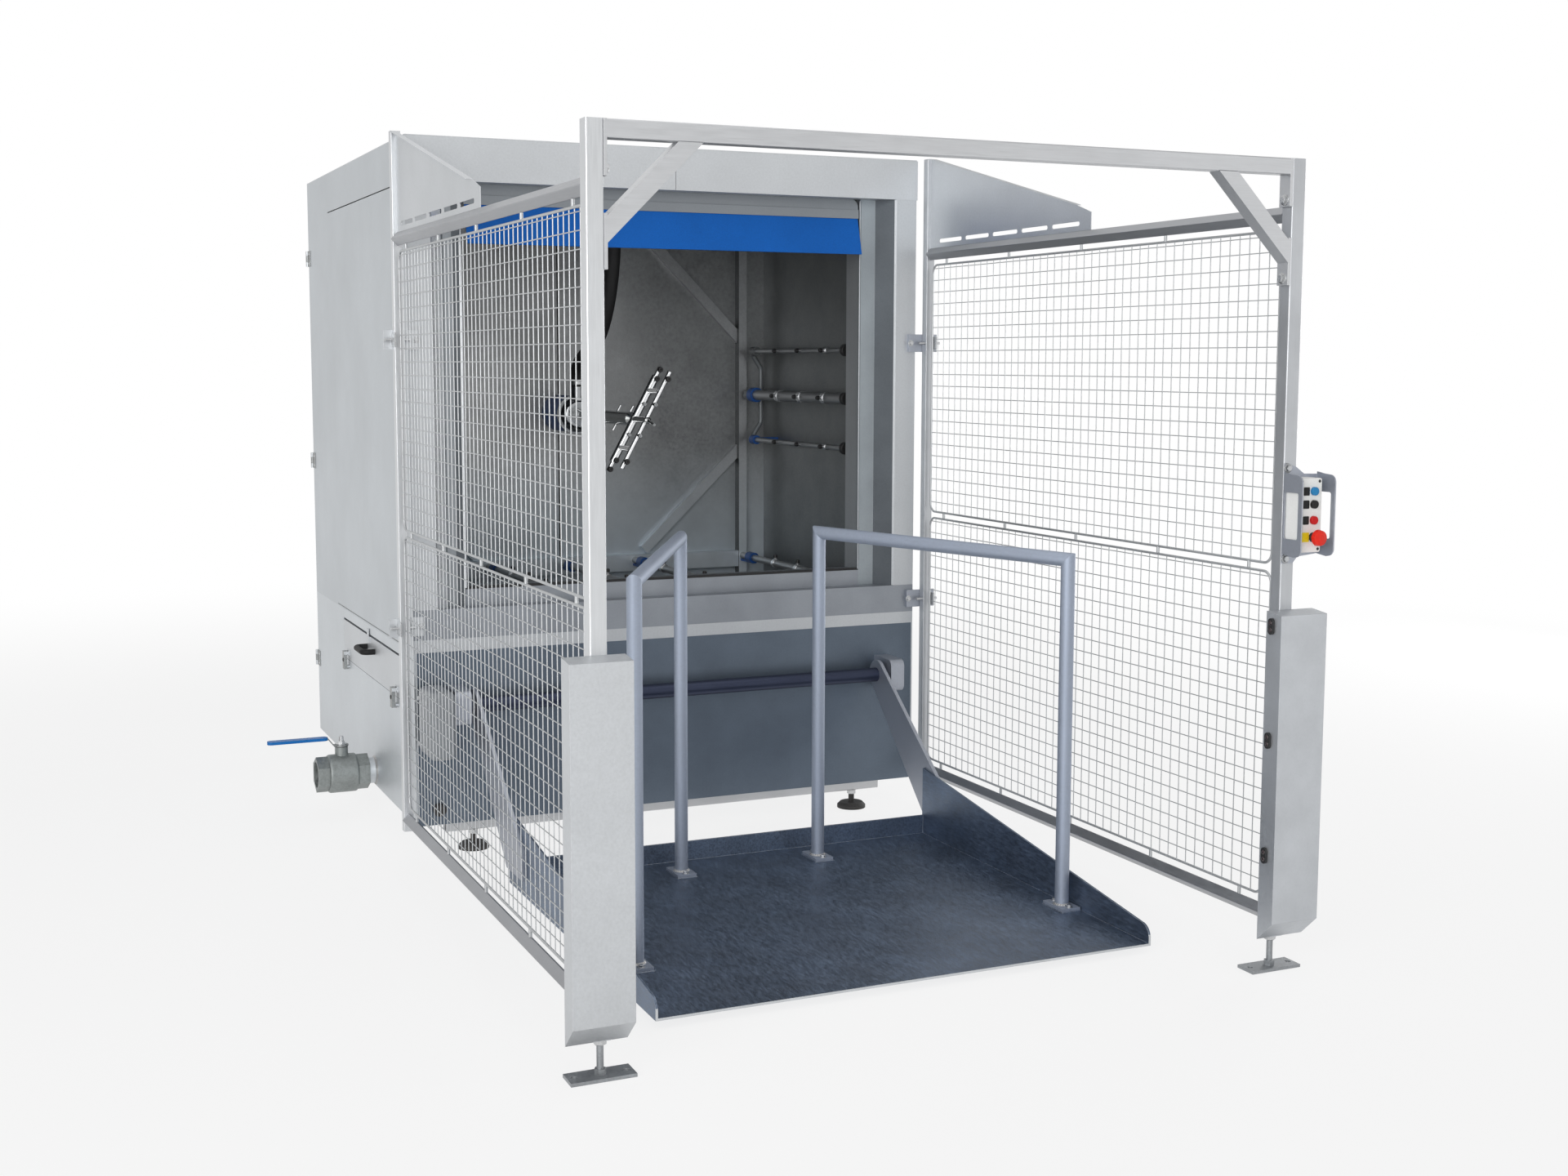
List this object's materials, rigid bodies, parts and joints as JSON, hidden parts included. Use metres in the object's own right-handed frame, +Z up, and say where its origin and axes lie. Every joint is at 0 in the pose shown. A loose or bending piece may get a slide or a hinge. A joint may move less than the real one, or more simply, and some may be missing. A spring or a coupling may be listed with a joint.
{
  "type": "crate washer",
  "caption": "Stainless crate washer: mesh-fenced loading bay with a gate, a tilting cradle that tips a pallet box to the mouth of a spray cabin, and a rotating spray arm.",
  "frame": {"origin": "on the floor under the middle of the machine's bounding box", "axes": "+X to the right seen from the gate, +Y from the gate to the cabin's rear doors, +Z up"},
  "size_m": [2.255, 3.759, 2.262],
  "materials": {
    "sheet_steel": "satin",
    "tube_steel": "satin",
    "wire_steel": "satin",
    "polished_steel": "polished",
    "blue_plastic": "satin",
    "black_plastic": "matt",
    "black_rubber": "matt",
    "white_plastic": "satin",
    "blue_button": "gloss",
    "black_button": "gloss",
    "red_button": "gloss",
    "painted_drive": "satin",
    "painted_pump": "satin"
  },
  "bodies": {
    "base": {"left_wall": "sheet_steel", "right_wall": "sheet_steel", "roof_panel": "sheet_steel", "chamber_back_wall": "sheet_steel", "front_header": "sheet_steel", "front_jambs": "sheet_steel", "sill_apron": "sheet_steel", "flap_carrier": "sheet_steel", "sump_tank": "sheet_steel", "chamber_ribs": "sheet_steel", "door_hinges": "sheet_steel", "splash_sheets": "sheet_steel", "fence_brackets": "sheet_steel", "post_covers": "sheet_steel", "panel_bracket": "sheet_steel", "base_bars": "tube_steel", "side_spray_bars": "tube_steel", "floor_spray_pipes": "tube_steel", "pump_pipes": "tube_steel", "fence_posts": "tube_steel", "fence_rails": "tube_steel", "gate_portal": "tube_steel", "gate_feet": "tube_steel", "cradle_bearings": "tube_steel", "mesh_frames": "wire_steel", "mesh_wires": "wire_steel", "hub_housing": "polished_steel", "drain_valve_body": "polished_steel", "splash_flap": "blue_plastic", "pipe_clamps": "blue_plastic", "hub_flange": "blue_plastic", "pipe_end_caps": "black_plastic", "photo_eyes": "black_plastic", "sill_seal": "black_rubber", "levelling_feet": "black_rubber", "feed_hose": "black_rubber", "panel_box": "white_plastic", "rotor_drive": "painted_drive", "tilt_gearmotor": "painted_drive", "wash_pump": "painted_pump"},
    "cradle": {"platform": "sheet_steel", "cradle_arms": "sheet_steel", "torque_tube": "tube_steel", "left_loop": "tube_steel", "right_loop": "tube_steel"},
    "rotor": {"rotor_pipe": "tube_steel", "rotor_arms": "tube_steel"},
    "drawer": {"drawer_front": "sheet_steel", "filter_basket": "sheet_steel", "drawer_handle": "black_plastic"},
    "front_latch": {"front_latch_lever": "tube_steel"},
    "rear_latch": {"rear_latch_lever": "tube_steel"},
    "left_door": {"rear_door_left": "sheet_steel"},
    "right_door": {"rear_door_right": "sheet_steel"},
    "drain_handle": {"drain_valve_ball": "polished_steel", "drain_valve_lever": "blue_plastic"},
    "start_key": {"start_button": "blue_button"},
    "cycle_key": {"cycle_button": "black_button"},
    "stop_key": {"stop_button": "red_button"},
    "emergency_key": {"emergency_button": "red_button"}
  },
  "joints": [
    {"name": "cradle_tilt", "type": "hinge", "parent": "base", "child": "cradle", "pos_m": [0.1215, 0.0585, 0.498], "axis": [-1, 0, 0], "range_deg": [0, 90]},
    {"name": "rotor_spin", "type": "hinge", "parent": "base", "child": "rotor", "pos_m": [0.1215, 0.8085, 1.372], "axis": [0, 1, 0], "continuous": true},
    {"name": "drawer_slide", "type": "slide", "parent": "base", "child": "drawer", "axis": [-1, 0, 0], "range_m": [0, 0.45]},
    {"name": "front_latch_swing", "type": "hinge", "parent": "drawer", "child": "front_latch", "pos_m": [-0.7775, 0.3925, 0.506], "axis": [0, 1, 0], "range_deg": [0, 100]},
    {"name": "rear_latch_swing", "type": "hinge", "parent": "drawer", "child": "rear_latch", "pos_m": [-0.7775, 1.2085, 0.506], "axis": [0, 1, 0], "range_deg": [0, 100]},
    {"name": "left_door_swing", "type": "hinge", "parent": "base", "child": "left_door", "pos_m": [-0.7675, 1.8465, 1.183], "axis": [0, 0, 1], "range_deg": [0, 110]},
    {"name": "right_door_swing", "type": "hinge", "parent": "base", "child": "right_door", "pos_m": [1.0105, 1.8465, 1.183], "axis": [0, 0, -1], "range_deg": [0, 110]},
    {"name": "drain_turn", "type": "hinge", "parent": "base", "child": "drain_handle", "pos_m": [-0.8785, 0.7685, 0.157], "axis": [0, 0, 1], "range_deg": [0, 90]},
    {"name": "start_press", "type": "slide", "parent": "base", "child": "start_key", "axis": [0, 1, 0], "range_m": [0, 0.004], "stiffness_N_per_m": 1000},
    {"name": "cycle_press", "type": "slide", "parent": "base", "child": "cycle_key", "axis": [0, 1, 0], "range_m": [0, 0.004], "stiffness_N_per_m": 1000},
    {"name": "stop_press", "type": "slide", "parent": "base", "child": "stop_key", "axis": [0, 1, 0], "range_m": [0, 0.004], "stiffness_N_per_m": 1000},
    {"name": "emergency_press", "type": "slide", "parent": "base", "child": "emergency_key", "axis": [0, 1, 0], "range_m": [0, 0.006]}
  ]
}
